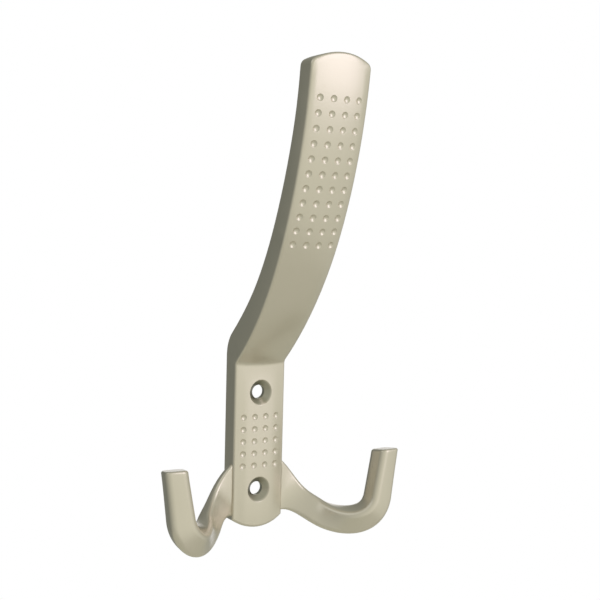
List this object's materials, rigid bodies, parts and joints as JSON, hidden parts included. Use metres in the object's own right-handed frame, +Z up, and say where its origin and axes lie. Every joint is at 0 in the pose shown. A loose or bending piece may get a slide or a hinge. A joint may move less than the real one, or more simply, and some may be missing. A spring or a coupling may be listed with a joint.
{
  "type": "wall hook",
  "caption": "Cast wall hook: a screw-on plate with a long forward-leaning upper arm, a prong at either side that turns forward and up, and a dimpled front.",
  "frame": {"origin": "on the wall plane, midway between the two screw holes", "axes": "+Z up, -Y out of the wall towards the viewer, +X to the viewer's right, symmetric about X = 0"},
  "size_m": [0.0838, 0.0511, 0.1508],
  "materials": {
    "satin_nickel": "satin nickel plating on a zinc alloy casting"
  },
  "bodies": {
    "root": {"wall_hook": "satin_nickel"}
  },
  "joints": []
}
